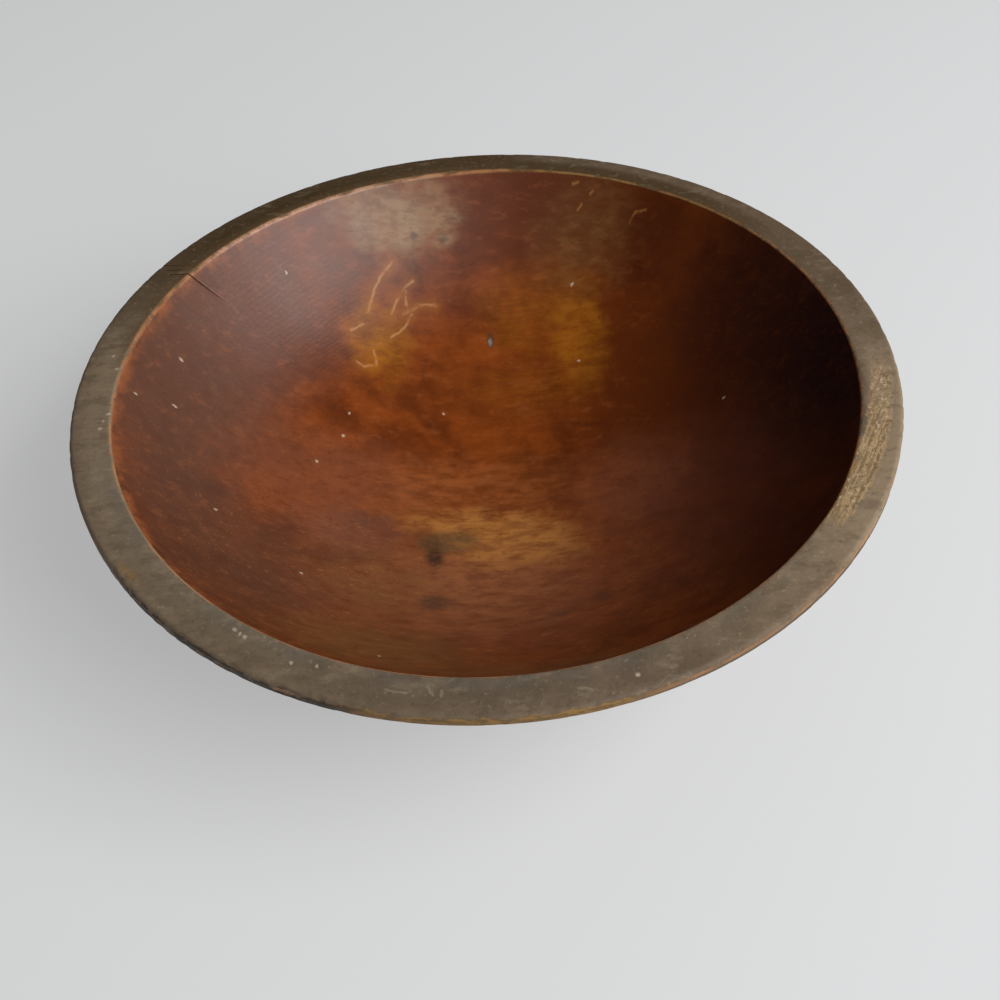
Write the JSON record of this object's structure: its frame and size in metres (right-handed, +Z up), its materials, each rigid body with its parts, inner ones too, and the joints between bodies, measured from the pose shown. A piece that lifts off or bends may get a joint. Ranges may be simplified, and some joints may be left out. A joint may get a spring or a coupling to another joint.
{
  "type": "dough bowl",
  "caption": "Round lathe-turned wooden dough bowl with a wide worn rim band, a smooth deep hollow and a flat foot, for mixing, proving and serving.",
  "frame": {"origin": "centre of the bowl on the plane of its flat foot", "axes": "+Z up along the turning axis, +X along the wood grain, -Y towards the viewer"},
  "size_m": [0.336, 0.326, 0.0966],
  "materials": {
    "bowl_wood": "old oiled hardwood with worn paint, satin"
  },
  "bodies": {
    "root": {"turned_bowl": "bowl_wood"}
  },
  "joints": []
}
